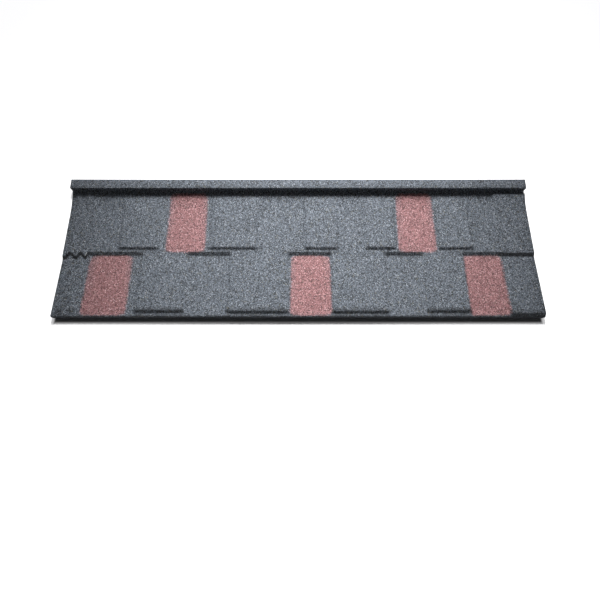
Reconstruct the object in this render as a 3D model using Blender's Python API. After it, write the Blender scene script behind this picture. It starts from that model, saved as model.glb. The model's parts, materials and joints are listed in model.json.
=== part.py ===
"""Stone chip coated steel roofing panel, pressed with two rows of shingle faces.

One sheet, drawn from its section: a nose turned down at the front, the lower row,
the middle step, the upper row, the riser and the ledge that lies on the batten.
Metres, +Z up. The nose looks along -Y, the slope of the roof rises along +Y.
The origin is at the middle of the plan, on the level that the sheet lies on.
"""
import bmesh
import bpy
import itertools
import math
from mathutils import Vector

# Sheet
PANEL_LENGTH = 1.340
COURSE_EXPOSURE = 0.375
SHEET_THICKNESS = 0.002
LAP_CLEARANCE = 0.0015

# Nose
NOSE_RADIUS = 0.006

# Rows and the step between them
LOWER_ROW_SLOPE = math.radians(5.9)
UPPER_ROW_SLOPE = math.radians(2.8)
STEP_CREST_RUN = 0.1892
STEP_DROP = 0.0057
STEP_FACE_SLOPE = math.radians(30.0)
STEP_CREST_RADIUS = 0.004
STEP_FOOT_RADIUS = 0.004

# Foot of the upper row, riser and ledge
SWEEP_RADIUS = 0.240
SWEEP_SLOPE = math.radians(13.0)
SWEEP_SETBACK = 0.037
RISER_FOOT_RADIUS = 0.003
RISER_HEIGHT = 0.0256
LEDGE_RADIUS = 0.0035
LEDGE_WIDTH = 0.0295

# Raised faces of the rows: gap before the face, its width, and how far above the step or nose it ends
UPPER_FACES = (
    (0.086, 0.123, 0.0045),
    (0.136, 0.147, 0.0045),
    (0.125, 0.107, 0.0045),
    (0.068, 0.098, 0.0045),
    (0.110, 0.110, 0.0045),
)
LOWER_FACES = (
    (0.154, 0.143, 0.0100),
    (0.108, 0.179, 0.0082),
    (0.108, 0.164, 0.0082),
    (0.096, 0.129, 0.0100),
)
FACE_RISE = 0.0060
FACE_SIDE_DRAFT = 0.012
FACE_END_DRAFT = 0.0105
FACE_MARGIN = 0.030
FADE_LENGTH = 0.010

# Side lap ribs at the left end
RIB_COUNT = 2
RIB_PITCH = 0.029
RIB_START = 0.0075
RIB_END_RUN = 0.011

# Side lap strip at the right end, which covers the ribs of the next panel
STRIP_WIDTH = 0.0995
STRIP_RISE = 0.0055
STRIP_END_RUN = 0.002
STRIP_CLEARANCE = 0.0003

# Turns of the middle step down the roof, at the ribs and on the strip, and how far the rows give way
RIB_STEP_SHIFT = 0.0115
RIB_BLEND = 0.004
STRIP_STEP_SHIFT = 0.004
STEP_TURN_REACH = 0.035

# Fineness
NOSE_STEPS = 6
BEND_STEPS = 3
SWEEP_STEPS = 6
DRAFT_STEPS = 4
RIB_STEPS = 8
CUT_TOLERANCE = 0.000001

# Sizes that follow from the ones above
RISER_RUN = COURSE_EXPOSURE + SHEET_THICKNESS + LAP_CLEARANCE
DEPTH = RISER_RUN + LEDGE_WIDTH
FADE_END_RUN = RISER_RUN - RISER_FOOT_RADIUS
STEP_FOOT_RUN = STEP_CREST_RUN - STEP_DROP / math.tan(STEP_FACE_SLOPE)
RIB_ZONE_END = RIB_START + RIB_COUNT * RIB_PITCH
RIB_RISE = STRIP_RISE - SHEET_THICKNESS - STRIP_CLEARANCE
STRIP_START = PANEL_LENGTH - STRIP_WIDTH

CHIP_COLOUR = (0.085, 0.100, 0.122, 1.0)
CHIP_ROUGHNESS = 0.92


def smooth(share):
    """Ease from 0 to 1 with level ends."""
    share = min(1.0, max(0.0, share))
    return share * share * (3.0 - 2.0 * share)


def spread(start, end, steps):
    """Evenly spaced places from start to end."""
    return [start + (end - start) * i / steps for i in range(steps + 1)]


def clear_scene():
    for item in list(bpy.data.objects):
        bpy.data.objects.remove(item, do_unlink=True)


def section_corners():
    """Corners of the outer face from nose to rear edge: run, height, radius and arc steps.

    Heights are from the lowest line of the upper row's outer face.
    """
    slopes = math.sin(UPPER_ROW_SLOPE) + math.sin(SWEEP_SLOPE)
    turn = math.sin(UPPER_ROW_SLOPE + SWEEP_SLOPE)
    sweep_run = RISER_RUN - SWEEP_SETBACK
    sweep_height = SWEEP_RADIUS * (1.0 - slopes / turn)
    crest_height = sweep_height + (sweep_run - STEP_CREST_RUN) * math.tan(UPPER_ROW_SLOPE)
    foot_height = crest_height - STEP_DROP
    nose_height = foot_height + STEP_FOOT_RUN * math.tan(LOWER_ROW_SLOPE)
    riser_foot_height = sweep_height + SWEEP_SETBACK * math.tan(SWEEP_SLOPE)
    stand_height = min(0.0, foot_height) - SHEET_THICKNESS
    return (
        (0.0, stand_height, 0.0, 0),
        (0.0, nose_height, NOSE_RADIUS, NOSE_STEPS),
        (STEP_FOOT_RUN, foot_height, STEP_FOOT_RADIUS, BEND_STEPS),
        (STEP_CREST_RUN, crest_height, STEP_CREST_RADIUS, BEND_STEPS),
        (sweep_run, sweep_height, SWEEP_RADIUS, SWEEP_STEPS),
        (RISER_RUN, riser_foot_height, RISER_FOOT_RADIUS, BEND_STEPS),
        (RISER_RUN, RISER_HEIGHT, LEDGE_RADIUS, BEND_STEPS),
        (DEPTH, RISER_HEIGHT, 0.0, 0),
    )


def rounded(corners):
    """The section as points, with an arc of the given radius at each corner."""
    places = [Vector((run, height)) for run, height, radius, steps in corners]
    tangents = []
    for i, (run, height, radius, steps) in enumerate(corners):
        if not steps:
            tangents.append(0.0)
            continue
        turn = (places[i] - places[i - 1]).angle(places[i + 1] - places[i])
        tangents.append(radius * math.tan(turn / 2.0))
    for i in range(len(places) - 1):
        room = (places[i + 1] - places[i]).length
        wanted = tangents[i] + tangents[i + 1]
        if wanted > room:
            tangents[i] *= room / wanted
            tangents[i + 1] *= room / wanted
    points = []
    for i, (run, height, radius, steps) in enumerate(corners):
        if not steps:
            points.append(places[i])
            continue
        before = (places[i] - places[i - 1]).normalized()
        after = (places[i + 1] - places[i]).normalized()
        turn = before.angle(after)
        fitted = tangents[i] / math.tan(turn / 2.0)
        start = places[i] - before * tangents[i]
        side = math.copysign(1.0, before.cross(after))
        centre = start + Vector((-before.y, before.x)) * side * fitted
        for step in range(steps + 1):
            angle = side * turn * step / steps
            arm = start - centre
            cos, sin = math.cos(angle), math.sin(angle)
            points.append(centre + Vector((arm.x * cos - arm.y * sin, arm.x * sin + arm.y * cos)))
    return points


def draw_sheet(mesh, corners):
    """Extrude the section along the panel. Run and length stay as drawn until the sheet is placed."""
    lift = -corners[0][1]
    verts = [mesh.verts.new((0.0, p.x, p.y + lift)) for p in rounded(corners)]
    edges = [mesh.edges.new(pair) for pair in zip(verts, verts[1:])]
    swept = bmesh.ops.extrude_edge_only(mesh, edges=edges)["geom"]
    moved = [item for item in swept if isinstance(item, bmesh.types.BMVert)]
    bmesh.ops.translate(mesh, verts=moved, vec=(PANEL_LENGTH, 0.0, 0.0))
    bmesh.ops.recalc_face_normals(mesh, faces=mesh.faces)
    ledge = max(mesh.faces, key=lambda face: face.calc_center_median().z)
    if ledge.normal.z < 0.0:
        bmesh.ops.reverse_faces(mesh, faces=mesh.faces)
    return lift


def reaches_into(face, low, high):
    """Whether a face reaches into a rectangle of the plan."""
    for axis in (0, 1):
        places = [vert.co[axis] for vert in face.verts]
        if max(places) < low[axis] + CUT_TOLERANCE or min(places) > high[axis] - CUT_TOLERANCE:
            return False
    return True


def press(mesh, across, along, form):
    """Cut the sheet along the lines of a pressed form and move its points by form(vert)."""
    low = (min(across), min(along))
    high = (max(across), max(along))
    for axis, lines in ((0, across), (1, along)):
        normal = Vector((1.0 - axis, float(axis), 0.0))
        for line in lines:
            faces = [face for face in mesh.faces if reaches_into(face, low, high)]
            edges = dict.fromkeys(edge for face in faces for edge in face.edges)
            verts = dict.fromkeys(vert for face in faces for vert in face.verts)
            bmesh.ops.bisect_plane(
                mesh, geom=[*verts, *edges, *faces], dist=CUT_TOLERANCE,
                plane_co=normal * line, plane_no=normal)
    for vert in mesh.verts:
        inside = [low[axis] - CUT_TOLERANCE < vert.co[axis] < high[axis] + CUT_TOLERANCE for axis in (0, 1)]
        if all(inside):
            vert.co += form(vert.co)


def laid_out(faces, start, stop):
    """Left edge, right edge and end of each raised face that fits in a row, repeated along it."""
    edge = start
    for gap, width, end in itertools.cycle(faces):
        left = edge + gap
        edge = left + width
        if edge > stop - FACE_MARGIN:
            return
        yield left, edge, end


def side_share(place, left, right):
    """How far up the drafted sides of a raised face a place lies."""
    return smooth((place - left) / FACE_SIDE_DRAFT) * smooth((right - place) / FACE_SIDE_DRAFT)


def fade_share(run):
    """Pressed forms of the upper row run out before the riser, where the next nose hangs."""
    return smooth((FADE_END_RUN - run) / FADE_LENGTH)


def side_lines(left, right):
    return (spread(left, left + FACE_SIDE_DRAFT, DRAFT_STEPS)
            + spread(right - FACE_SIDE_DRAFT, right, DRAFT_STEPS))


def end_lines(run):
    return spread(run, run + FACE_END_DRAFT, DRAFT_STEPS)


def fade_lines():
    return spread(FADE_END_RUN - FADE_LENGTH, FADE_END_RUN, DRAFT_STEPS)


def press_upper_faces(mesh, corners, lift):
    """Raised faces of the upper row run straight on until the foot of the riser rises through them."""
    crest_run, crest_height = corners[3][:2]
    for left, right, end in laid_out(UPPER_FACES, RIB_ZONE_END, STRIP_START):
        end_run = STEP_CREST_RUN + end

        def form(place):
            row = crest_height + lift - (place.y - crest_run) * math.tan(UPPER_ROW_SLOPE)
            rise = max(0.0, row + FACE_RISE - place.z)
            share = side_share(place.x, left, right) * smooth((place.y - end_run) / FACE_END_DRAFT)
            return Vector((0.0, 0.0, rise * share))

        press(mesh, side_lines(left, right), end_lines(end_run) + [FADE_END_RUN], form)


def press_lower_faces(mesh, corners, lift):
    """Raised faces of the lower row start level with the upper row, so no step shows above them."""
    foot_run, foot_height = corners[2][:2]
    crest_run = STEP_CREST_RUN + STEP_CREST_RADIUS
    for left, right, end in laid_out(LOWER_FACES, RIB_ZONE_END, STRIP_START):

        def form(place):
            row = foot_height + lift + (foot_run - place.y) * math.tan(LOWER_ROW_SLOPE)
            rise = max(0.0, row + STEP_DROP - place.z)
            share = side_share(place.x, left, right) * smooth((place.y - end) / FACE_END_DRAFT)
            return Vector((0.0, 0.0, rise * share))

        press(mesh, side_lines(left, right), end_lines(end) + [crest_run], form)


def rib_wave(place):
    """How far up its side a point of the ribs lies, from 0 between them to 1 on a crest."""
    turn = (place - RIB_START) / RIB_PITCH
    return 0.5 - 0.5 * math.cos(2.0 * math.pi * turn) if 0.0 < turn < RIB_COUNT else 0.0


def press_ribs(mesh):
    """Two ribs under the next panel's strip."""
    across = spread(RIB_START, RIB_ZONE_END, RIB_COUNT * RIB_STEPS)

    def form(place):
        end = smooth((place.y - RIB_END_RUN) / FACE_END_DRAFT)
        return Vector((0.0, 0.0, RIB_RISE * rib_wave(place.x) * end * fade_share(place.y)))

    press(mesh, across, end_lines(RIB_END_RUN) + fade_lines(), form)


def press_strip(mesh):
    """The strip is lifted by a sheet's thickness more than the ribs that it covers."""

    def form(place):
        share = smooth((place.x - STRIP_START) / FACE_SIDE_DRAFT) * fade_share(place.y)
        share *= smooth((place.y - STRIP_END_RUN) / FACE_END_DRAFT)
        return Vector((0.0, 0.0, STRIP_RISE * share))

    across = spread(STRIP_START, STRIP_START + FACE_SIDE_DRAFT, DRAFT_STEPS) + [PANEL_LENGTH]
    press(mesh, across, end_lines(STRIP_END_RUN) + fade_lines(), form)


def turn_step(mesh):
    """Turn the middle step down the roof between the ribs and on the strip. The rows beside it give way."""
    step_start = STEP_FOOT_RUN - STEP_FOOT_RADIUS
    step_end = STEP_CREST_RUN + STEP_CREST_RADIUS
    row_slope = math.tan((LOWER_ROW_SLOPE + UPPER_ROW_SLOPE) / 2.0)

    def form(place):
        beside = max(step_start - place.y, place.y - step_end, 0.0)
        blend = smooth((RIB_ZONE_END + RIB_BLEND - place.x) / RIB_BLEND)
        shift = RIB_STEP_SHIFT * (1.0 - rib_wave(place.x)) * blend
        shift += STRIP_STEP_SHIFT * smooth((place.x - STRIP_START) / FACE_SIDE_DRAFT)
        shift *= max(0.0, 1.0 - beside / STEP_TURN_REACH)
        return Vector((0.0, -shift, shift * row_slope))

    along = (step_start - STEP_TURN_REACH, step_end + STEP_TURN_REACH)
    press(mesh, (0.0, RIB_ZONE_END + RIB_BLEND), along, form)
    press(mesh, (STRIP_START, PANEL_LENGTH), along, form)


def chip_coat():
    """Crushed stone chips bonded to the sheet."""
    material = bpy.data.materials.new("stone_chip_coat")
    material.use_nodes = True
    shader = material.node_tree.nodes["Principled BSDF"]
    shader.inputs["Base Color"].default_value = CHIP_COLOUR
    shader.inputs["Roughness"].default_value = CHIP_ROUGHNESS
    shader.inputs["Metallic"].default_value = 0.0
    material.diffuse_color = CHIP_COLOUR
    return material


def shingle_panel():
    """The pressed sheet, drawn as its outer face and thickened downwards."""
    corners = section_corners()
    mesh = bmesh.new()
    lift = draw_sheet(mesh, corners)
    press_upper_faces(mesh, corners, lift)
    press_lower_faces(mesh, corners, lift)
    press_ribs(mesh)
    press_strip(mesh)
    turn_step(mesh)
    bmesh.ops.triangulate(mesh, faces=mesh.faces)
    bmesh.ops.translate(mesh, verts=mesh.verts, vec=(-PANEL_LENGTH / 2.0, -DEPTH / 2.0, 0.0))
    data = bpy.data.meshes.new("shingle_panel")
    mesh.to_mesh(data)
    mesh.free()
    panel = bpy.data.objects.new("shingle_panel", data)
    bpy.context.scene.collection.objects.link(panel)
    data.materials.append(chip_coat())
    wall = panel.modifiers.new("wall", "SOLIDIFY")
    wall.thickness = SHEET_THICKNESS
    wall.offset = -1.0
    wall.use_even_offset = True
    wall.use_quality_normals = True
    return panel


clear_scene()
shingle_panel()
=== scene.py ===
"""Looks of a steel roofing panel with a stone chip coat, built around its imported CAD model.

The pressed sheet is drawn again with finer bends, a little below the CAD model's outer face, and the
crushed stone chips bonded to it are modelled one by one up to that face. Metres, +Z up, in the frame of
the CAD model. The nose looks along -Y, and a run is a distance up the roof from the nose.
"""

import itertools
import json
import math
import random

import bmesh
import bpy
import numpy as np
from bpy.props import FloatProperty, FloatVectorProperty, IntProperty, PointerProperty
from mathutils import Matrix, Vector

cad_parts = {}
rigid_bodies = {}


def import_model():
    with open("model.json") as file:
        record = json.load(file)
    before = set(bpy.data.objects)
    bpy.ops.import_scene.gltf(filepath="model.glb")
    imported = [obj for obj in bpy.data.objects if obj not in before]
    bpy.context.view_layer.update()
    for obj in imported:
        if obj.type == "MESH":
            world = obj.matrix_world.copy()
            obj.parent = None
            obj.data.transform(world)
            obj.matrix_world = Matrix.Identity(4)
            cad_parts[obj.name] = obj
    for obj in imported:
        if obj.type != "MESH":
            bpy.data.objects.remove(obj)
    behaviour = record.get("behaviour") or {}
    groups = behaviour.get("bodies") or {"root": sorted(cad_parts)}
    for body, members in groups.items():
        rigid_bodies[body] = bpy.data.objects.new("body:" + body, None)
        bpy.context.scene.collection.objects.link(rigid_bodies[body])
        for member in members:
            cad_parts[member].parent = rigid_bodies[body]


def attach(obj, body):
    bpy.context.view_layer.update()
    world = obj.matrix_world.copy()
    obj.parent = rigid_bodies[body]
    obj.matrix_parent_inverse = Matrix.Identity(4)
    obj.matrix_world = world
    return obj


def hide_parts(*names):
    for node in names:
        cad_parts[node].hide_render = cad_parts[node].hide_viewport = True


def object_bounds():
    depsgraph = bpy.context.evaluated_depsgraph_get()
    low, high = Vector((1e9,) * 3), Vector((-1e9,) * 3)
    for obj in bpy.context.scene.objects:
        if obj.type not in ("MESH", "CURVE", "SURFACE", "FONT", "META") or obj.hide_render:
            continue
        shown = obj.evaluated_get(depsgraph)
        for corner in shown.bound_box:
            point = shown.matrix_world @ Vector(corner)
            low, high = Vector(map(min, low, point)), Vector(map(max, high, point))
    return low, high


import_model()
CAD_LOW, CAD_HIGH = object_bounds()

bl_info = {
    "name": "Stone Chip Roofing Panel",
    "version": (1, 0, 0),
    "blender": (4, 5, 0),
    "location": "View3D > Sidebar > Roofing",
    "description": "Builds the finish of a stone chip coated roofing panel and its studio",
    "category": "Add Mesh",
}

# Pressed form of the sheet, as the CAD model has it
PANEL_LENGTH = CAD_HIGH.x - CAD_LOW.x
DEPTH = CAD_HIGH.y - CAD_LOW.y
COURSE_EXPOSURE = 0.375
SHEET_THICKNESS = 0.002
LAP_CLEARANCE = 0.0015
NOSE_RADIUS = 0.006
LOWER_ROW_SLOPE = math.radians(5.9)
UPPER_ROW_SLOPE = math.radians(2.8)
STEP_CREST_RUN = 0.1892
STEP_DROP = 0.0057
STEP_FACE_SLOPE = math.radians(30.0)
STEP_CREST_RADIUS = 0.004
STEP_FOOT_RADIUS = 0.004
SWEEP_RADIUS = 0.240
SWEEP_SLOPE = math.radians(13.0)
SWEEP_SETBACK = 0.037
RISER_FOOT_RADIUS = 0.003
RISER_HEIGHT = 0.0256
LEDGE_RADIUS = 0.0035
RISER_RUN = COURSE_EXPOSURE + SHEET_THICKNESS + LAP_CLEARANCE
STEP_FOOT_RUN = STEP_CREST_RUN - STEP_DROP / math.tan(STEP_FACE_SLOPE)

# Raised faces of the rows: gap before the face, its width, and how far above the step or nose it ends
UPPER_FACES = (
    (0.086, 0.123, 0.0045),
    (0.136, 0.147, 0.0045),
    (0.125, 0.107, 0.0045),
    (0.068, 0.098, 0.0045),
    (0.110, 0.110, 0.0045),
)
LOWER_FACES = (
    (0.154, 0.143, 0.0100),
    (0.108, 0.179, 0.0082),
    (0.108, 0.164, 0.0082),
    (0.096, 0.129, 0.0100),
)
FACE_RISE = 0.0060
FACE_SIDE_DRAFT = 0.012
FACE_END_DRAFT = 0.0105
FACE_MARGIN = 0.030
FADE_LENGTH = 0.010
FADE_END_RUN = RISER_RUN - RISER_FOOT_RADIUS

# Side lap ribs at the left end, and the strip at the right end, raised to lap over such ribs
RIB_COUNT = 2
RIB_PITCH = 0.029
RIB_START = 0.0075
RIB_END_RUN = 0.011
RIB_STEP_SHIFT = 0.0115
RIB_BLEND = 0.004
STEP_TURN_REACH = 0.035
RIB_ZONE_END = RIB_START + RIB_COUNT * RIB_PITCH
STRIP_WIDTH = 0.0995
STRIP_RISE = 0.0055
STRIP_END_RUN = 0.002
STRIP_CLEARANCE = 0.0003
STRIP_STEP_SHIFT = 0.004
STRIP_START = PANEL_LENGTH - STRIP_WIDTH
RIB_RISE = STRIP_RISE - SHEET_THICKNESS - STRIP_CLEARANCE

# Fineness of the sheet. From the nose it is divided closely up to the lower reach, which is a run, and
# round the step up to the upper reach above the crest.
NOSE_STEPS = 8
BEND_STEPS = 4
SWEEP_STEPS = 10
DRAFT_STEPS = 6
RIB_STEPS = 20
FINE_RUN = 0.001
PLAIN_RUN = 0.010
PLAIN_LENGTH = 0.020
LOWER_REACH = 0.021
UPPER_REACH = 0.020

# Red shingles: left and right edge from the left end, and the runs of their low and high edges. Their
# corners are round, their edges are mixed with grey, and they are narrower at the high edge.
RED_UPPER = ((0.2915, 0.4025), (0.9575, 1.066))
RED_LOWER = ((0.078, 0.2005), (0.6485, 0.762), (1.1375, 1.2485))
RED_UPPER_RUNS = (0.189, 0.372)
RED_LOWER_RUNS = (0.005, 0.180)
RED_CORNER = 0.013
RED_EDGE = 0.007
RED_TAPER = 0.003

# Painted shade: pressed edges that face down the roof, away from the key lamp, are painted darker by how far
# they lean out of level. A band has its low and high run and the share of light that the painted shade takes
# on an edge and beside it. The painted shade spreads and thins beside an edge, takes more on the laps' step,
# and darkens the ledge lightly.
SHADE_LEAN = (0.10, 0.32)
PAINTED_SHADE_BANDS = ((0.006, 0.150, 0.46, 0.55), (0.150, 0.193, 0.44, 0.15), (0.193, 0.340, 0.10, 0.14))
PAINTED_SHADE_ON_LAPS = 0.74
SHADE_SPREAD = (0.0, 0.002, 0.005, 0.012)
SHADE_FADING = (1.0, 0.9, 0.55, 0.0)
SHADE_CELL = (0.004, 0.0015)
LEDGE_SHADE = 0.14

# The chips are split along the panel, so that each piece stays small enough for its STL file. The crowding
# is how many are tried on a square as wide as the spacing, and the insets are shares of a chip's width
# that keep it on the sheet.
CHIP_PIECES = 5
CHIP_CROWDING = 2.0
CHIP_END_INSET = 0.7
CHIP_REAR_INSET = 0.75

# Chip shapes: their sides, the radius of the top as a share of the width, how far a corner is knocked out
# of place as shares of width and height, and the least and the most that a chip is scaled by
CHIP_SIDES = (3, 4, 4, 3, 4, 5)
CHIP_TOP = 0.3125
CHIP_KNOCKS = (0.13, 0.13, 0.15)
CHIP_SCALES = ((0.72, 0.72, 0.65), (1.22, 1.22, 1.0))

# The chips' map is seen from in front and above. The lean is how far a point's height moves it up the map.
MAP_LEAN = 0.6

# Camera and key lamp, fitted to the photograph's 600 by 600 pixels
CAMERA_PLACE = (0.0053, -0.421, 1.280)
CAMERA_TILT = math.radians(17.9)
CAMERA_LENS = 28.13
CAMERA_SHIFT = -49.65 / 600.0
KEY_TILT = math.radians(44.0)
KEY_AIM = (0.035, 0.115, 0.0)

# The floor's glow for the camera grows from near the panel to full white further out, between two ovals
# whose half axes are the two reaches times those given. It hardly glows in a strip under the panel and just
# in front of the nose, where the shadow falls: the strip has its middle and half width along Y, and how far
# it passes the panel's ends, each from the dark side to the clear side. Its bounce on the panel is dull.
GLOW_HALF_AXES = (0.95, 0.5)
GLOW_REACH = (0.45, 1.25)
GLOW_NEAR = 0.12
SHADOW_GLOW = 0.004
SHADOW_MIDDLE = -0.030
SHADOW_REACH = (0.182, 0.200)
SHADOW_END = (-0.006, 0.006)
FLOOR_BOUNCE = 0.05

# Finishes. The colours are sRGB. The chips' tones go from dark to light, with a buff one last, and each
# has its share of the chips. The fine chips in the bonding coat are 3 mm apart, coarser than the real ones,
# and some of them are dark: the shades are the shares of light that are left on those.
CHIP_TONES = ("#16181b", "#363b42", "#5a616a", "#7d848d", "#9a9fa7", "#6c6a5e")
CHIP_SHARES = (0.24, 0.20, 0.22, 0.21, 0.09, 0.04)
RED_TONES = ("#332526", "#5f4446", "#876669", "#a98587", "#c4a3a5", "#6f6560")
RED_SHARES = (0.22, 0.20, 0.23, 0.22, 0.09, 0.04)
COAT_COLOUR = "#51575f"
RED_COAT_COLOUR = "#835b5c"
FINES_PITCH = 0.003
FINES_DARK_SHARE = 0.33
FINES_SHADE = 0.25
RED_FINES_SHADE = 0.5
COAT_DENTS_PER_METRE = 600.0
COAT_DENT_DEPTH = 0.0004
COAT_ROUGHNESS = 0.85
CHIP_SPECULAR = 0.5
METAL_COLOUR = "#b4b8ba"
SPANGLES_PER_METRE = 160.0
SPANGLE_SHADE = 0.82
SPANGLE_ROUGHNESS = (0.38, 0.55)
FLOOR_COLOUR = "#fdfdfe"


def linear(text):
    """An sRGB hex colour as linear red, green and blue."""
    shares = [int(text[i:i + 2], 16) / 255.0 for i in (1, 3, 5)]
    return tuple(s / 12.92 if s <= 0.04045 else ((s + 0.055) / 1.055) ** 2.4 for s in shares)


def smooth(share):
    """Ease from 0 to 1 with level ends."""
    share = min(1.0, max(0.0, share))
    return share * share * (3.0 - 2.0 * share)


def spread(start, end, steps):
    """Evenly spaced places from start to end."""
    return [start + (end - start) * i / steps for i in range(steps + 1)]


def add_node(tree, kind, sockets=None, **settings):
    """Add a node, give it its settings, and set or link its inputs by name or number."""
    node = tree.nodes.new(kind)
    for name, value in settings.items():
        setattr(node, name, value)
    for socket, value in (sockets or {}).items():
        if isinstance(value, bpy.types.NodeSocket):
            tree.links.new(value, node.inputs[socket])
        else:
            node.inputs[socket].default_value = value
    return node


def new_material(name):
    """A material with only its output and an empty Principled shader: the tree and the shader."""
    material = bpy.data.materials.new(name)
    material.use_nodes = True
    return material, material.node_tree, material.node_tree.nodes["Principled BSDF"]


def put_in_scene(name, mesh):
    """A piece of the panel that stands for the CAD sheet and moves with it."""
    piece = bpy.data.objects.new(name, mesh)
    bpy.context.scene.collection.objects.link(piece)
    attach(piece, "root")
    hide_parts("shingle_panel")
    return piece


def section_corners():
    """Corners of the outer face from nose to rear edge: run, height, radius and arc steps."""
    slopes = math.sin(UPPER_ROW_SLOPE) + math.sin(SWEEP_SLOPE)
    turn = math.sin(UPPER_ROW_SLOPE + SWEEP_SLOPE)
    sweep_run = RISER_RUN - SWEEP_SETBACK
    sweep_height = SWEEP_RADIUS * (1.0 - slopes / turn)
    crest_height = sweep_height + (sweep_run - STEP_CREST_RUN) * math.tan(UPPER_ROW_SLOPE)
    foot_height = crest_height - STEP_DROP
    nose_height = foot_height + STEP_FOOT_RUN * math.tan(LOWER_ROW_SLOPE)
    riser_foot_height = sweep_height + SWEEP_SETBACK * math.tan(SWEEP_SLOPE)
    stand_height = min(0.0, foot_height) - SHEET_THICKNESS
    corners = (
        (0.0, stand_height, 0.0, 0),
        (0.0, nose_height, NOSE_RADIUS, NOSE_STEPS),
        (STEP_FOOT_RUN, foot_height, STEP_FOOT_RADIUS, BEND_STEPS),
        (STEP_CREST_RUN, crest_height, STEP_CREST_RADIUS, BEND_STEPS),
        (sweep_run, sweep_height, SWEEP_RADIUS, SWEEP_STEPS),
        (RISER_RUN, riser_foot_height, RISER_FOOT_RADIUS, BEND_STEPS),
        (RISER_RUN, RISER_HEIGHT, LEDGE_RADIUS, BEND_STEPS),
        (DEPTH, RISER_HEIGHT, 0.0, 0),
    )
    return [(run, height - stand_height, radius, steps) for run, height, radius, steps in corners]


def rounded(corners):
    """The section as points, with an arc of the given radius at each corner."""
    places = [Vector((run, height)) for run, height, radius, steps in corners]
    tangents = []
    for i, (run, height, radius, steps) in enumerate(corners):
        if not steps:
            tangents.append(0.0)
            continue
        turn = (places[i] - places[i - 1]).angle(places[i + 1] - places[i])
        tangents.append(radius * math.tan(turn / 2.0))
    for i in range(len(places) - 1):
        room = (places[i + 1] - places[i]).length
        wanted = tangents[i] + tangents[i + 1]
        if wanted > room:
            tangents[i] *= room / wanted
            tangents[i + 1] *= room / wanted
    points = []
    for i, (run, height, radius, steps) in enumerate(corners):
        if not steps:
            points.append(places[i])
            continue
        before = (places[i] - places[i - 1]).normalized()
        after = (places[i + 1] - places[i]).normalized()
        turn = before.angle(after)
        fitted = tangents[i] / math.tan(turn / 2.0)
        start = places[i] - before * tangents[i]
        side = math.copysign(1.0, before.cross(after))
        centre = start + Vector((-before.y, before.x)) * side * fitted
        for step in range(steps + 1):
            angle = side * turn * step / steps
            arm = start - centre
            cos, sin = math.cos(angle), math.sin(angle)
            points.append(centre + Vector((arm.x * cos - arm.y * sin, arm.x * sin + arm.y * cos)))
    return points


def laid_out(faces):
    """Left edge, right edge and end of each raised face between the ribs and the strip."""
    edge = RIB_ZONE_END
    for gap, width, end in itertools.cycle(faces):
        left = edge + gap
        edge = left + width
        if edge > STRIP_START - FACE_MARGIN:
            return
        yield left, edge, end


def across_lines():
    """Places along the panel where the sheet is divided: close on drafts and ribs, wide elsewhere."""
    lines = set(spread(RIB_START, RIB_ZONE_END, RIB_COUNT * RIB_STEPS))
    lines.update(spread(RIB_ZONE_END, RIB_ZONE_END + RIB_BLEND, DRAFT_STEPS))
    lines.update(spread(STRIP_START, STRIP_START + FACE_SIDE_DRAFT, DRAFT_STEPS))
    for left, right, end in (*laid_out(UPPER_FACES), *laid_out(LOWER_FACES)):
        lines.update(spread(left, left + FACE_SIDE_DRAFT, DRAFT_STEPS))
        lines.update(spread(right - FACE_SIDE_DRAFT, right, DRAFT_STEPS))
    for edge in itertools.chain(*RED_UPPER, *RED_LOWER):
        lines.update((edge - RED_EDGE / 2.0, edge + RED_EDGE / 2.0))
    lines.update((0.0, PANEL_LENGTH))
    found = [0.0]
    for line in sorted(lines)[1:]:
        plain = max(1, round((line - found[-1]) / PLAIN_LENGTH))
        if line - found[-1] > FINE_RUN / 4.0:
            found += spread(found[-1], line, plain)[1:]
    return found


def along_lines():
    """Runs at which the section is divided: close at the face ends and the step, wide elsewhere."""
    step_reach = RIB_STEP_SHIFT + STEP_CREST_RADIUS
    fine = (
        (NOSE_RADIUS + FINE_RUN, LOWER_REACH),
        (STEP_FOOT_RUN - step_reach, STEP_CREST_RUN + UPPER_REACH),
        (FADE_END_RUN - FADE_LENGTH, FADE_END_RUN),
    )
    lines = []
    for start, end in fine:
        if lines:
            lines += spread(lines[-1], start, round((start - lines[-1]) / PLAIN_RUN))[1:-1]
        lines += spread(start, end, round((end - start) / FINE_RUN))
    return lines


def pressed_height(x, run, height, crest_height):
    """The height that the press gives a point of the plain section, whose step has its crest that high."""
    rise = 0.0
    fade = smooth((FADE_END_RUN - run) / FADE_LENGTH)
    for left, right, end in laid_out(UPPER_FACES):
        row = crest_height - (run - STEP_CREST_RUN) * math.tan(UPPER_ROW_SLOPE)
        share = smooth((x - left) / FACE_SIDE_DRAFT) * smooth((right - x) / FACE_SIDE_DRAFT)
        share *= smooth((run - STEP_CREST_RUN - end) / FACE_END_DRAFT)
        if run <= FADE_END_RUN:
            rise += max(0.0, row + FACE_RISE - height) * share
    for left, right, end in laid_out(LOWER_FACES):
        top = crest_height + max(STEP_FOOT_RUN - run, 0.0) * math.tan(LOWER_ROW_SLOPE)
        top -= max(run - STEP_CREST_RUN, 0.0) * math.tan(UPPER_ROW_SLOPE)
        share = smooth((x - left) / FACE_SIDE_DRAFT) * smooth((right - x) / FACE_SIDE_DRAFT)
        share *= smooth((run - end) / FACE_END_DRAFT)
        if run <= STEP_CREST_RUN + STEP_CREST_RADIUS:
            rise += max(0.0, top - height) * share
    share = smooth((x - STRIP_START) / FACE_SIDE_DRAFT) * fade
    rise += STRIP_RISE * share * smooth((run - STRIP_END_RUN) / FACE_END_DRAFT)
    rise += RIB_RISE * rib_wave(x) * smooth((run - RIB_END_RUN) / FACE_END_DRAFT) * fade
    return height + rise


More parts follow.
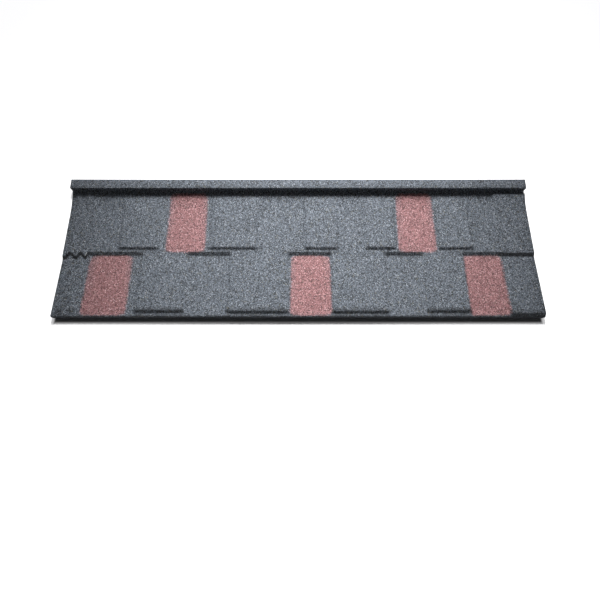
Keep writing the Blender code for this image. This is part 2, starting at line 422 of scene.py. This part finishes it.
def rib_wave(x):
    """How far up its side a point of the side lap ribs lies, from 0 between them to 1 on a crest."""
    turn = (x - RIB_START) / RIB_PITCH
    return 0.5 - 0.5 * math.cos(2.0 * math.pi * turn) if 0.0 < turn < RIB_COUNT else 0.0


def step_turn(x, run):
    """How far down the roof the middle step turns, between the ribs and on the strip. The rows give way."""
    below = STEP_FOOT_RUN - STEP_FOOT_RADIUS - run
    above = run - STEP_CREST_RUN - STEP_CREST_RADIUS
    share = max(0.0, 1.0 - max(below, above, 0.0) / STEP_TURN_REACH)
    ribs = RIB_STEP_SHIFT * (1.0 - rib_wave(x)) * smooth((RIB_ZONE_END + RIB_BLEND - x) / RIB_BLEND)
    strip = STRIP_STEP_SHIFT * smooth((x - STRIP_START) / FACE_SIDE_DRAFT)
    return (ribs + strip) * share


def outer_skin(coat_depth):
    """The sheet's outer skin as a mesh, that deep under the CAD model's outer face."""
    corners = section_corners()
    crest_height = next(height for run, height, radius, steps in corners if run == STEP_CREST_RUN)
    mesh = bmesh.new()
    verts = [mesh.verts.new((0.0, p.x, p.y)) for p in rounded(corners)]
    for pair in zip(verts, verts[1:]):
        mesh.edges.new(pair)
    for run in along_lines():
        bmesh.ops.bisect_plane(
            mesh, geom=[*mesh.verts, *mesh.edges], dist=FINE_RUN / 10.0,
            plane_co=(0.0, run, 0.0), plane_no=(0.0, 1.0, 0.0))
    lines = across_lines()
    front = list(mesh.edges)
    for start, end in zip(lines, lines[1:]):
        swept = bmesh.ops.extrude_edge_only(mesh, edges=front)["geom"]
        moved = {item for item in swept if isinstance(item, bmesh.types.BMVert)}
        bmesh.ops.translate(mesh, verts=list(moved), vec=(end - start, 0.0, 0.0))
        front = [edge for edge in mesh.edges if edge.verts[0] in moved and edge.verts[1] in moved]
    row_slope = math.tan((LOWER_ROW_SLOPE + UPPER_ROW_SLOPE) / 2.0)
    for vert in mesh.verts:
        x, run, height = vert.co
        shift = step_turn(x, run)
        vert.co.z = pressed_height(x, run, height, crest_height) + shift * row_slope
        vert.co.y = run - shift
    mesh.normal_update()
    inward = [face for face in mesh.faces if face.normal.z < face.normal.y]
    bmesh.ops.reverse_faces(mesh, faces=inward)
    mesh.normal_update()
    for vert in mesh.verts:
        vert.co -= vert.normal * coat_depth
    bmesh.ops.translate(mesh, verts=mesh.verts, vec=(CAD_LOW.x, CAD_LOW.y, 0.0))
    # The extrusions leave the faces in an order that changes from run to run, and the chips' places
    # follow the faces, so the faces are put in one order
    mesh.verts.index_update()
    mesh.faces.sort(key=lambda face: math.hypot(*(vert.index for vert in face.verts)))
    skin = bpy.data.meshes.new("outer_skin")
    mesh.to_mesh(skin)
    mesh.free()
    place = np.array([vert.co for vert in skin.vertices])
    normal = np.array([vert.normal for vert in skin.vertices])
    x, run = place[:, 0] - CAD_LOW.x, place[:, 1] - CAD_LOW.y
    # The coat's points keep their share of red and of painted shade
    mark(skin, bed_red=red_share(x, run), bed_sprayed=painted_shade_share(x, run, normal))
    return skin


def chip_bed(settings):
    """Acrylic bonding coat full of fine chips: dark slate, brick under the red shingles, and dented."""
    material, tree, shader = new_material("acrylic_bonding_coat")
    place = add_node(tree, "ShaderNodeTexCoord").outputs["Object"]
    dents = add_node(tree, "ShaderNodeTexNoise", {"Vector": place, "Scale": COAT_DENTS_PER_METRE})
    bump = add_node(tree, "ShaderNodeBump", {"Height": dents.outputs["Fac"], "Distance": COAT_DENT_DEPTH})
    red = add_node(tree, "ShaderNodeAttribute", attribute_name="bed_red")
    colour = add_node(tree, "ShaderNodeMix", {
        "Factor": red.outputs["Fac"],
        6: (*settings.coat_colour, 1.0),
        7: (*settings.red_coat_colour, 1.0)}, data_type="RGBA")
    fines = add_node(tree, "ShaderNodeTexVoronoi", {"Vector": place, "Scale": 1.0 / FINES_PITCH})
    draw = add_node(tree, "ShaderNodeSeparateColor", {"Color": fines.outputs["Color"]})
    dark = add_node(tree, "ShaderNodeMath", {
        0: draw.outputs["Red"], 1: FINES_DARK_SHARE}, operation="LESS_THAN")
    depth = add_node(tree, "ShaderNodeMapRange", {
        "Value": red.outputs["Fac"], "To Min": FINES_SHADE, "To Max": RED_FINES_SHADE})
    # Painted shade darkens the coat and its fine chips on edges that face down the roof, away from the key
    # lamp
    painted_shade = add_node(tree, "ShaderNodeAttribute", attribute_name="bed_sprayed")
    lit = add_node(tree, "ShaderNodeMath", {0: 1.0, 1: painted_shade.outputs["Fac"]}, operation="SUBTRACT")
    full = add_node(tree, "ShaderNodeMath", {
        0: depth.outputs["Result"], 1: lit.outputs[0]}, operation="MULTIPLY")
    shade = add_node(tree, "ShaderNodeMapRange", {
        "Value": dark.outputs[0], "To Min": lit.outputs[0], "To Max": full.outputs[0]})
    toned = add_node(tree, "ShaderNodeVectorMath", {
        0: colour.outputs[2], "Scale": shade.outputs["Result"]}, operation="SCALE")
    tree.links.new(toned.outputs["Vector"], shader.inputs["Base Color"])
    tree.links.new(bump.outputs["Normal"], shader.inputs["Normal"])
    shader.inputs["Roughness"].default_value = COAT_ROUGHNESS
    return material


def zinc_aluminium(settings):
    """Hot dipped zinc aluminium on the bare underside: dull silver, with spangle of about 6 mm."""
    material, tree, shader = new_material("zinc_aluminium_spangle")
    place = add_node(tree, "ShaderNodeTexCoord").outputs["Object"]
    spangle = add_node(tree, "ShaderNodeTexVoronoi", {"Vector": place, "Scale": SPANGLES_PER_METRE})
    tone = add_node(tree, "ShaderNodeValToRGB", {"Fac": spangle.outputs["Color"]})
    metal = tuple(settings.metal_colour)
    tone.color_ramp.elements[0].color = (*(SPANGLE_SHADE * share for share in metal), 1.0)
    tone.color_ramp.elements[1].color = (*metal, 1.0)
    dull = add_node(tree, "ShaderNodeMapRange", {
        "Value": spangle.outputs["Color"], "To Min": SPANGLE_ROUGHNESS[0], "To Max": SPANGLE_ROUGHNESS[1]})
    shader.inputs["Metallic"].default_value = 1.0
    tree.links.new(tone.outputs["Color"], shader.inputs["Base Color"])
    tree.links.new(dull.outputs["Result"], shader.inputs["Roughness"])
    return material


def tone_ramp(tree, draw, tones, shares):
    """Steps of colour, each as wide as the share of chips that has it."""
    ramp = add_node(tree, "ShaderNodeValToRGB", {"Fac": draw})
    ramp.color_ramp.interpolation = "CONSTANT"
    start = 0.0
    for number, (tone, share) in enumerate(zip(tones, shares)):
        stops = ramp.color_ramp.elements
        stop = stops[number] if number < 2 else stops.new(start)
        stop.position = start
        stop.color = (*linear(tone), 1.0)
        start += share
    return ramp.outputs["Color"]


def stone_chips():
    """Crushed and ceramic coloured stone under a clear acrylic glaze: matt, each chip one colour."""
    material, tree, shader = new_material("crushed_stone_chips")
    draws = add_node(tree, "ShaderNodeAttribute", attribute_name="chip_draws")
    parts = add_node(tree, "ShaderNodeSeparateXYZ", {"Vector": draws.outputs["Vector"]})
    red = add_node(tree, "ShaderNodeAttribute", attribute_name="chip_red")
    grey_tone = tone_ramp(tree, parts.outputs["X"], CHIP_TONES, CHIP_SHARES)
    red_tone = tone_ramp(tree, parts.outputs["X"], RED_TONES, RED_SHARES)
    colour = add_node(tree, "ShaderNodeMix", {
        "Factor": red.outputs["Fac"], 6: grey_tone, 7: red_tone}, data_type="RGBA")
    # Painted shade darkens the chips on edges that face down the roof, and dims their gloss with it
    painted_shade = add_node(tree, "ShaderNodeAttribute", attribute_name="chip_sprayed")
    shade = add_node(tree, "ShaderNodeMath", {0: 1.0, 1: painted_shade.outputs["Fac"]}, operation="SUBTRACT")
    shaded = add_node(tree, "ShaderNodeVectorMath", {
        0: colour.outputs[2], "Scale": shade.outputs[0]}, operation="SCALE")
    gloss = add_node(tree, "ShaderNodeMath", {
        0: shade.outputs[0], 1: CHIP_SPECULAR}, operation="MULTIPLY")
    tree.links.new(shaded.outputs["Vector"], shader.inputs["Base Color"])
    tree.links.new(gloss.outputs[0], shader.inputs["Specular IOR Level"])
    shader.inputs["Roughness"].default_value = COAT_ROUGHNESS
    return material


def chip_shapes(width, height, seed):
    """A few crushed stone shapes, each a short tapered block with its corners knocked about."""
    draw = random.Random(seed)
    shapes = bpy.data.collections.new("chip_shapes")
    for number, sides in enumerate(CHIP_SIDES):
        mesh = bmesh.new()
        bmesh.ops.create_cone(
            mesh, cap_ends=True, segments=sides, radius1=width / 2.0, radius2=width * CHIP_TOP, depth=height)
        for vert in mesh.verts:
            for axis, (knock, size) in enumerate(zip(CHIP_KNOCKS, (width, width, height))):
                vert.co[axis] += draw.uniform(-knock, knock) * size
        bmesh.ops.triangulate(mesh, faces=mesh.faces)
        bmesh.ops.recalc_face_normals(mesh, faces=mesh.faces)
        data = bpy.data.meshes.new(f"chip_shape_{number}")
        mesh.to_mesh(data)
        mesh.free()
        shapes.objects.link(bpy.data.objects.new(f"chip_shape_{number}", data))
    return shapes


def chip_nodes(shapes, settings):
    """Geometry nodes that strew chips over a skin, between two places along the panel."""
    tree = bpy.data.node_groups.new("strewn_chips", "GeometryNodeTree")
    for name, way, kind in (("Skin", "INPUT", "Geometry"), ("From", "INPUT", "Float"),
                            ("To", "INPUT", "Float"), ("Chips", "OUTPUT", "Geometry")):
        tree.interface.new_socket(name, in_out=way, socket_type=f"NodeSocket{kind}")
    given = add_node(tree, "NodeGroupInput")
    strewn = add_node(tree, "GeometryNodeDistributePointsOnFaces", {
        "Mesh": given.outputs["Skin"], "Distance Min": settings.spacing,
        "Density Max": CHIP_CROWDING / settings.spacing ** 2, "Seed": settings.seed},
        distribute_method="POISSON")
    # A chip is left out past the two places, at the rear edge, and where the nose stands on the floor
    place = add_node(tree, "GeometryNodeInputPosition")
    parts = add_node(tree, "ShaderNodeSeparateXYZ", {0: place.outputs[0]})
    before = add_node(tree, "ShaderNodeMath", {
        0: parts.outputs["X"], 1: given.outputs["From"]}, operation="LESS_THAN")
    behind = add_node(tree, "ShaderNodeMath", {
        0: given.outputs["To"], 1: parts.outputs["X"]}, operation="LESS_THAN")
    above = add_node(tree, "ShaderNodeMath", {
        0: CAD_HIGH.y - settings.width * CHIP_REAR_INSET, 1: parts.outputs["Y"]}, operation="LESS_THAN")
    low = add_node(tree, "ShaderNodeMath", {
        0: parts.outputs["Z"], 1: settings.width * CHIP_END_INSET}, operation="LESS_THAN")
    front = add_node(tree, "ShaderNodeMath", {
        0: parts.outputs["Y"], 1: CAD_LOW.y + NOSE_RADIUS}, operation="LESS_THAN")
    beneath = add_node(tree, "ShaderNodeMath", {
        0: low.outputs[0], 1: front.outputs[0]}, operation="MULTIPLY")
    outside = before
    for other in (behind, above, beneath):
        outside = add_node(tree, "ShaderNodeMath", {
            0: outside.outputs[0], 1: other.outputs[0]}, operation="MAXIMUM")
    kept = add_node(tree, "GeometryNodeDeleteGeometry", {
        "Geometry": strewn.outputs["Points"], "Selection": outside.outputs[0]}, domain="POINT")
    # Each chip keeps its place, the way that the sheet faces there, and its draws of tone and colour
    leaning = add_node(tree, "GeometryNodeStoreNamedAttribute", {
        "Geometry": kept.outputs[0], "Name": "chip_lean", "Value": strewn.outputs["Normal"]},
        data_type="FLOAT_VECTOR", domain="POINT")
    draws = add_node(tree, "FunctionNodeRandomValue", {
        0: (0.0, 0.0, 0.0), 1: (1.0, 1.0, 1.0), "Seed": settings.seed + 1}, data_type="FLOAT_VECTOR")
    drawn = add_node(tree, "GeometryNodeStoreNamedAttribute", {
        "Geometry": leaning.outputs[0], "Name": "chip_draws", "Value": draws.outputs[0]},
        data_type="FLOAT_VECTOR", domain="POINT")
    placed = add_node(tree, "GeometryNodeStoreNamedAttribute", {
        "Geometry": drawn.outputs[0], "Name": "chip_place", "Value": place.outputs[0]},
        data_type="FLOAT_VECTOR", domain="POINT")
    # Each chip has one of the shapes, turned, tilted and scaled at random
    kinds = add_node(tree, "GeometryNodeCollectionInfo", {
        "Collection": shapes, "Separate Children": True, "Reset Children": True})
    pick = add_node(tree, "FunctionNodeRandomValue", {
        4: 0, 5: len(CHIP_SIDES) - 1, "Seed": settings.seed + 2}, data_type="INT")
    tilt = settings.tilt
    angles = add_node(tree, "FunctionNodeRandomValue", {
        0: (-tilt, -tilt, -math.pi), 1: (tilt, tilt, math.pi), "Seed": settings.seed + 3},
        data_type="FLOAT_VECTOR")
    turn = add_node(tree, "FunctionNodeEulerToRotation", {0: angles.outputs[0]})
    turned = add_node(tree, "FunctionNodeRotateRotation", {
        0: strewn.outputs["Rotation"], 1: turn.outputs[0]}, rotation_space="LOCAL")
    size = add_node(tree, "FunctionNodeRandomValue", {
        0: CHIP_SCALES[0], 1: CHIP_SCALES[1], "Seed": settings.seed + 4},
        data_type="FLOAT_VECTOR")
    chips = add_node(tree, "GeometryNodeInstanceOnPoints", {
        "Points": placed.outputs[0], "Instance": kinds.outputs[0], "Pick Instance": True,
        "Instance Index": pick.outputs[2], "Rotation": turned.outputs[0], "Scale": size.outputs[0]})
    real = add_node(tree, "GeometryNodeRealizeInstances", {"Geometry": chips.outputs[0]})
    add_node(tree, "NodeGroupOutput", {0: real.outputs[0]})
    return tree


def mark(mesh, **attributes):
    """Give each point of a mesh its value of every named attribute."""
    for name, values in attributes.items():
        written = mesh.attributes.new(name, "FLOAT", "POINT")
        written.data.foreach_set("value", values.astype(np.float32))


def attribute_values(mesh, name, width):
    """One row for each point of a mesh, with the numbers that an attribute gives it."""
    found = np.empty(len(mesh.vertices) * width, np.float32)
    mesh.attributes[name].data.foreach_get("vector" if width == 3 else "value", found)
    return found.reshape(-1, width)


def red_share(x, run):
    """How much of the chip mix is red at a place: 1 inside a red shingle, with a soft mixed edge."""
    share = np.zeros_like(x)
    for row, (low, high) in ((RED_UPPER, RED_UPPER_RUNS), (RED_LOWER, RED_LOWER_RUNS)):
        for left, right in row:
            taper = RED_TAPER * np.clip((run - low) / (high - low), 0.0, 1.0)
            past_x = np.abs(x - (left + right) / 2.0) - (right - left) / 2.0 + taper + RED_CORNER
            past_run = np.abs(run - (low + high) / 2.0) - (high - low) / 2.0 + RED_CORNER
            outside = np.hypot(np.maximum(past_x, 0.0), np.maximum(past_run, 0.0)) - RED_CORNER
            outside = np.where((past_x < 0.0) & (past_run < 0.0), -RED_CORNER, outside)
            share = np.maximum(share, np.clip(0.5 - outside / RED_EDGE, 0.0, 1.0))
    return share


def widened_shade(x, run, painted_shade):
    """The painted shade, widened up and down the roof, found on a grid of small cells."""
    cell = (x / SHADE_CELL[0]).astype(int), (run / SHADE_CELL[1]).astype(int)
    bare = np.zeros([places.max() + 1 for places in cell])
    np.maximum.at(bare, cell, painted_shade)
    full = bare.copy()
    for shift in range(1, round(SHADE_SPREAD[-1] / SHADE_CELL[1])):
        thin = np.interp(shift * SHADE_CELL[1], SHADE_SPREAD, SHADE_FADING)
        full[:, shift:] = np.maximum(full[:, shift:], thin * bare[:, :-shift])
        full[:, :-shift] = np.maximum(full[:, :-shift], thin * bare[:, shift:])
    return full[cell]


def painted_shade_share(x, run, normal):
    """The share of its light that painted shade takes from each chip, on edges that face away from the key
    lamp.
    """
    lean = np.hypot(normal[:, 0], normal[:, 1]) * np.clip(-normal[:, 1] / SHADE_LEAN[0], 0.0, 1.0)
    steep = np.clip((lean - SHADE_LEAN[0]) / (SHADE_LEAN[1] - SHADE_LEAN[0]), 0.0, 1.0)
    on_edge, beside = np.zeros_like(x), np.zeros_like(x)
    for low, high, edge_share, beside_share in PAINTED_SHADE_BANDS:
        band = (low <= run) & (run < high)
        on_edge[band] = edge_share
        beside[band] = beside_share
    low, high = PAINTED_SHADE_BANDS[1][:2]
    on_laps = (x < RIB_ZONE_END + RIB_BLEND) | (x > STRIP_START)
    on_edge[on_laps & (low <= run) & (run < high)] = PAINTED_SHADE_ON_LAPS
    share = np.maximum(steep * on_edge, widened_shade(x, run, steep * beside))
    # The ledge gets a light, even painted shade
    return np.where(run > RISER_RUN, LEDGE_SHADE, share)


def mark_chips(mesh):
    """Each chip is red or grey as a whole, by the share of red at its place, and gets painted shade by its
    lean.
    """
    place = attribute_values(mesh, "chip_place", 3)
    draws = attribute_values(mesh, "chip_draws", 3)
    normal = attribute_values(mesh, "chip_lean", 3)
    x = place[:, 0] - CAD_LOW.x
    run = place[:, 1] - CAD_LOW.y
    red = draws[:, 1] < red_share(x, run)
    mark(mesh, chip_red=red, chip_sprayed=painted_shade_share(x, run, normal))
    for name in ("chip_place", "chip_lean"):
        mesh.attributes.remove(mesh.attributes[name])


def unroll(mesh):
    """A map seen from obliquely in front and above, from where no part of the sheet hides another."""
    points = np.empty(len(mesh.vertices) * 3, np.float32)
    mesh.vertices.foreach_get("co", points)
    points = points.reshape(-1, 3)
    flat = np.stack((points[:, 0], points[:, 1] + MAP_LEAN * points[:, 2]), 1)
    flat = (flat - flat.min(0)) / np.ptp(flat, 0)
    corner = np.empty(len(mesh.loops), np.int32)
    mesh.loops.foreach_get("vertex_index", corner)
    layer = mesh.uv_layers.new(name="OFBake")
    layer.uv.foreach_set("vector", flat[corner].ravel())


class RoofingSheetSettings(bpy.types.PropertyGroup):
    """Build-up of the coated sheet."""
    coat_depth: FloatProperty(
        name="Chip coat depth", description="How far the bare sheet lies under the tops of the chips",
        default=0.00095, min=0.0003, max=0.0015, precision=5, unit="LENGTH")
    coat_colour: FloatVectorProperty(
        name="Coat colour", description="Colour of the bonding coat and its fine chips",
        default=linear(COAT_COLOUR), size=3, min=0.0, max=1.0, subtype="COLOR")
    red_coat_colour: FloatVectorProperty(
        name="Red coat colour", description="Colour of the bonding coat in the red shingles",
        default=linear(RED_COAT_COLOUR), size=3, min=0.0, max=1.0, subtype="COLOR")
    metal_colour: FloatVectorProperty(
        name="Metal colour", description="Colour of the bare underside",
        default=linear(METAL_COLOUR), size=3, min=0.0, max=1.0, subtype="COLOR")


class RoofingChipSettings(bpy.types.PropertyGroup):
    """Sizes of the chips: as high as the real ones, and two to three times as wide, so that they show."""
    spacing: FloatProperty(
        name="Spacing", description="Least distance between the middles of two chips",
        default=0.0021, min=0.0015, max=0.01, precision=5, unit="LENGTH")
    width: FloatProperty(
        name="Width", description="Mean width of a chip",
        default=0.0031, min=0.001, max=0.01, precision=5, unit="LENGTH")
    height: FloatProperty(
        name="Height", description="Mean height of a chip, half of it sunk in the bonding coat",
        default=0.0010, min=0.0005, max=0.003, precision=5, unit="LENGTH")
    tilt: FloatProperty(
        name="Tilt", description="How far a chip leans out of the sheet's plane at most",
        default=math.radians(14.0), min=0.0, max=math.radians(60.0), unit="ROTATION")
    seed: IntProperty(name="Seed", description="Start of the random draws", default=7)


class RoofingStudioSettings(bpy.types.PropertyGroup):
    """Light of the studio."""
    key_power: FloatProperty(
        name="Key power", description="Power of the lamp above and behind the panel",
        default=830.0, min=0.0, unit="POWER")
    key_distance: FloatProperty(
        name="Key distance", description="Distance of the lamp from the place that it points at",
        default=2.4, min=0.5, unit="LENGTH")
    key_radius: FloatProperty(
        name="Key radius", description="Radius of the lamp", default=0.42, min=0.01, unit="LENGTH")
    key_cone: FloatProperty(
        name="Key cone", description="Opening of the lamp's soft edged cone",
        default=math.radians(44.0), min=0.1, max=math.pi, unit="ROTATION")
    fill: FloatProperty(
        name="Fill", description="Strength of the light from all around", default=0.008, min=0.0)
    floor_colour: FloatVectorProperty(
        name="Floor colour", description="Colour of the floor that the camera sees",
        default=linear(FLOOR_COLOUR), size=3, min=0.0, max=1.0, subtype="COLOR")


class ROOFING_OT_pressed_sheet(bpy.types.Operator):
    """Draw the pressed sheet with its bonding coat above and bare metal below"""
    bl_idname = "roofing.pressed_sheet"
    bl_label = "Pressed Sheet"

    def execute(self, context):
        settings = context.scene.roofing_sheet
        skin = outer_skin(settings.coat_depth)
        skin.materials.append(chip_bed(settings))
        skin.materials.append(zinc_aluminium(settings))
        skin.shade_smooth()
        sheet = put_in_scene("pressed_sheet", skin)
        wall = sheet.modifiers.new("wall", "SOLIDIFY")
        wall.thickness = SHEET_THICKNESS - settings.coat_depth
        wall.offset = -1.0
        wall.use_quality_normals = True
        # The inner wall is bare metal, and the thin rim keeps the coat
        wall.material_offset = 1
        return {"FINISHED"}


class ROOFING_OT_stone_chips(bpy.types.Operator):
    """Strew the stone chips over the pressed sheet"""
    bl_idname = "roofing.stone_chips"
    bl_label = "Stone Chips"

    def execute(self, context):
        settings = context.scene.roofing_chips
        shapes = chip_shapes(settings.width, settings.height, settings.seed)
        tree = chip_nodes(shapes, settings)
        finish = stone_chips()
        # The skin without its wall, so that chips lie on the outer face only
        bare = bpy.data.objects.new("bare", bpy.data.objects["pressed_sheet"].data)
        context.scene.collection.objects.link(bare)
        strew = bare.modifiers.new("strew", "NODES")
        strew.node_group = tree
        sockets = {item.name: item.identifier for item in tree.interface.items_tree}
        inset = settings.width * CHIP_END_INSET
        ends = spread(CAD_LOW.x + inset, CAD_HIGH.x - inset, CHIP_PIECES)
        for number, (start, end) in enumerate(zip(ends, ends[1:]), 1):
            strew[sockets["From"]] = start
            strew[sockets["To"]] = end
            bare.update_tag()
            context.view_layer.update()
            seen = bare.evaluated_get(context.evaluated_depsgraph_get())
            mesh = bpy.data.meshes.new_from_object(seen)
            mesh.name = f"stone_chips_{number}"
            mesh.materials.clear()
            mesh.materials.append(finish)
            mark_chips(mesh)
            unroll(mesh)
            put_in_scene(mesh.name, mesh)
        bpy.data.objects.remove(bare)
        for shape in list(shapes.objects):
            bpy.data.objects.remove(shape)
        bpy.data.collections.remove(shapes)
        return {"FINISHED"}


class ROOFING_OT_studio(bpy.types.Operator):
    """Set up the floor, the lamp, the world and the camera"""
    bl_idname = "roofing.studio"
    bl_label = "Studio"

    def execute(self, context):
        settings = context.scene.roofing_studio
        scene = context.scene
        scene.view_settings.view_transform = "Standard"
        place_floor(settings)
        light_world(scene, settings)
        hang_key(scene, settings)
        place_camera(scene)
        return {"FINISHED"}


def seen_directly(tree):
    """1 for rays that show the studio itself: from the camera, in a gloss or through glass."""
    path = add_node(tree, "ShaderNodeLightPath")
    seen = add_node(tree, "ShaderNodeMath", {
        0: path.outputs["Is Camera Ray"], 1: path.outputs["Is Glossy Ray"]}, operation="MAXIMUM")
    return add_node(tree, "ShaderNodeMath", {
        0: seen.outputs[0], 1: path.outputs["Is Transmission Ray"]}, operation="MAXIMUM").outputs[0]


def place_floor(settings):
    """A wide floor, white to the camera away from the panel's shadow and dull to the light it bounces."""
    mesh = bmesh.new()
    bmesh.ops.create_grid(mesh, x_segments=1, y_segments=1, size=6.0)
    data = bpy.data.meshes.new("floor")
    mesh.to_mesh(data)
    mesh.free()
    floor = bpy.data.objects.new("floor", data)
    bpy.context.scene.collection.objects.link(floor)
    material, tree, shader = new_material("studio_floor")
    seen = seen_directly(tree)
    colour = add_node(tree, "ShaderNodeMix", {
        "Factor": seen, 6: (FLOOR_BOUNCE, FLOOR_BOUNCE, FLOOR_BOUNCE, 1.0),
        7: (*settings.floor_colour, 1.0)}, data_type="RGBA")
    tree.links.new(colour.outputs[2], shader.inputs["Base Color"])
    tree.links.new(colour.outputs[2], shader.inputs["Emission Color"])
    place = add_node(tree, "ShaderNodeTexCoord")
    stretch = add_node(tree, "ShaderNodeMapping", {
        "Vector": place.outputs["Object"], "Scale": (1.0 / GLOW_HALF_AXES[0], 1.0 / GLOW_HALF_AXES[1], 1.0)})
    away = add_node(tree, "ShaderNodeVectorMath", {0: stretch.outputs[0]}, operation="LENGTH")
    glow = add_node(tree, "ShaderNodeMapRange", {
        "Value": away.outputs["Value"], "From Min": GLOW_REACH[0], "From Max": GLOW_REACH[1],
        "To Min": GLOW_NEAR, "To Max": 1.0})
    parts = add_node(tree, "ShaderNodeSeparateXYZ", {"Vector": place.outputs["Object"]})
    sides = []
    for axis, middle, near, far in (
            ("X", 0.0, CAD_HIGH.x + SHADOW_END[0], CAD_HIGH.x + SHADOW_END[1]),
            ("Y", SHADOW_MIDDLE, *SHADOW_REACH)):
        offset = add_node(tree, "ShaderNodeMath", {
            0: parts.outputs[axis], 1: middle}, operation="SUBTRACT")
        aside = add_node(tree, "ShaderNodeMath", {0: offset.outputs[0]}, operation="ABSOLUTE")
        sides.append(add_node(tree, "ShaderNodeMapRange", {
            "Value": aside.outputs[0], "From Min": near, "From Max": far,
            "To Min": SHADOW_GLOW, "To Max": 1.0}).outputs[0])
    clear = add_node(tree, "ShaderNodeMath", {0: sides[0], 1: sides[1]}, operation="MAXIMUM")
    least = add_node(tree, "ShaderNodeMath", {
        0: glow.outputs[0], 1: clear.outputs[0]}, operation="MINIMUM")
    shown = add_node(tree, "ShaderNodeMath", {0: least.outputs[0], 1: seen}, operation="MULTIPLY")
    tree.links.new(shown.outputs[0], shader.inputs["Emission Strength"])
    shader.inputs["Roughness"].default_value = 1.0
    shader.inputs["Specular IOR Level"].default_value = 0.0
    data.materials.append(material)


def light_world(scene, settings):
    """White to the camera, and a faint even fill on the panel."""
    world = bpy.data.worlds.new("studio")
    scene.world = world
    world.use_nodes = True
    tree = world.node_tree
    strength = add_node(tree, "ShaderNodeMapRange", {
        "Value": seen_directly(tree), "To Min": settings.fill, "To Max": 1.0})
    background = tree.nodes["Background"]
    background.inputs["Color"].default_value = (1.0, 1.0, 1.0, 1.0)
    tree.links.new(strength.outputs[0], background.inputs["Strength"])


def hang_key(scene, settings):
    """One lamp above and behind the panel, so that every step shows its shadow in front."""
    lamp = bpy.data.lights.new("key", "SPOT")
    lamp.energy = settings.key_power
    lamp.shadow_soft_size = settings.key_radius
    lamp.spot_size = settings.key_cone
    lamp.spot_blend = 1.0
    key = bpy.data.objects.new("key", lamp)
    scene.collection.objects.link(key)
    reach = settings.key_distance
    key.location = Vector(KEY_AIM) + reach * Vector((0.0, math.sin(KEY_TILT), math.cos(KEY_TILT)))
    key.rotation_euler = (-KEY_TILT, 0.0, 0.0)


def place_camera(scene):
    """The photograph's view of the panel."""
    camera = bpy.data.objects.new("camera", bpy.data.cameras.new("camera"))
    scene.collection.objects.link(camera)
    camera.location = CAMERA_PLACE
    camera.rotation_euler = (CAMERA_TILT, 0.0, 0.0)
    camera.data.lens = CAMERA_LENS
    camera.data.shift_y = CAMERA_SHIFT
    scene.camera = camera


class ROOFING_PT_panel(bpy.types.Panel):
    """Settings and steps of the roofing panel"""
    bl_idname = "ROOFING_PT_panel"
    bl_label = "Roofing Panel"
    bl_space_type = "VIEW_3D"
    bl_region_type = "UI"
    bl_category = "Roofing"

    def draw(self, context):
        for group, operator in (
                (context.scene.roofing_sheet, ROOFING_OT_pressed_sheet),
                (context.scene.roofing_chips, ROOFING_OT_stone_chips),
                (context.scene.roofing_studio, ROOFING_OT_studio)):
            box = self.layout.box()
            for name in type(group).__annotations__:
                box.prop(group, name)
            box.operator(operator.bl_idname)


CLASSES = (
    RoofingSheetSettings,
    RoofingChipSettings,
    RoofingStudioSettings,
    ROOFING_OT_pressed_sheet,
    ROOFING_OT_stone_chips,
    ROOFING_OT_studio,
    ROOFING_PT_panel,
)


def register():
    for item in CLASSES:
        bpy.utils.register_class(item)
    bpy.types.Scene.roofing_sheet = PointerProperty(type=RoofingSheetSettings)
    bpy.types.Scene.roofing_chips = PointerProperty(type=RoofingChipSettings)
    bpy.types.Scene.roofing_studio = PointerProperty(type=RoofingStudioSettings)


def unregister():
    del bpy.types.Scene.roofing_studio
    del bpy.types.Scene.roofing_chips
    del bpy.types.Scene.roofing_sheet
    for item in reversed(CLASSES):
        bpy.utils.unregister_class(item)


def main():
    register()
    bpy.ops.roofing.pressed_sheet()
    bpy.ops.roofing.stone_chips()
    bpy.ops.roofing.studio()


if __name__ == "__main__":
    main()
